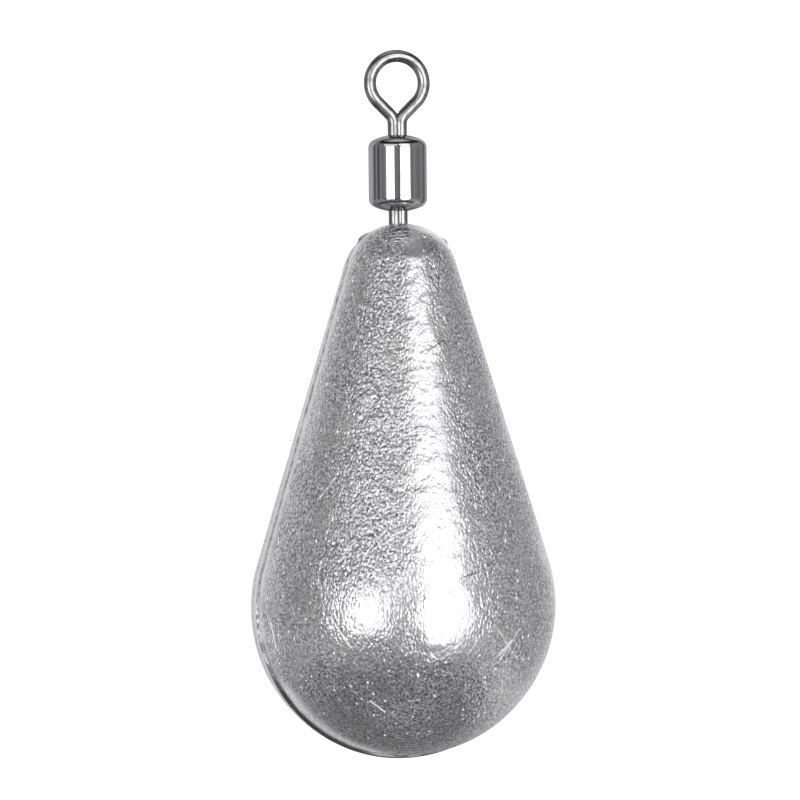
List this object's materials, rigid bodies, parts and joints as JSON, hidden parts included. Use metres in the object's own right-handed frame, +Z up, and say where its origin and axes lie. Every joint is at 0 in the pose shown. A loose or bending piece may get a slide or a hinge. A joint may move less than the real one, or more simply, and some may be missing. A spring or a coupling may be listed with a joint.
{
  "type": "fishing sinker",
  "caption": "Lead teardrop fishing sinker cast on to a rolling swivel; the line ties to the wire eye on top and the barrel lets the weight spin without twisting the line.",
  "frame": {"origin": "middle of the line eye's loop, where the line is tied and the sinker hangs from", "axes": "+Z up along the hanging axis, towards the line; +Y along the line eye's hole, away from the front view; +X to the right of the front view"},
  "size_m": [0.019, 0.0188, 0.0442],
  "materials": {
    "cast_lead": "satin",
    "bright_wire": "polished",
    "plated_barrel": "polished"
  },
  "bodies": {
    "line_eye": {"line_eye": "bright_wire"},
    "barrel": {"swivel_barrel": "plated_barrel"},
    "sinker": {"lead_casting": "cast_lead", "anchor_eye": "bright_wire"}
  },
  "joints": [
    {"name": "barrel_spin", "type": "hinge", "parent": "line_eye", "child": "barrel", "pos_m": [0, 0, -0.00561], "axis": [0, 0, 1], "continuous": true},
    {"name": "sinker_spin", "type": "hinge", "parent": "barrel", "child": "sinker", "pos_m": [0, 0, -0.00561], "axis": [0, 0, 1], "continuous": true}
  ]
}
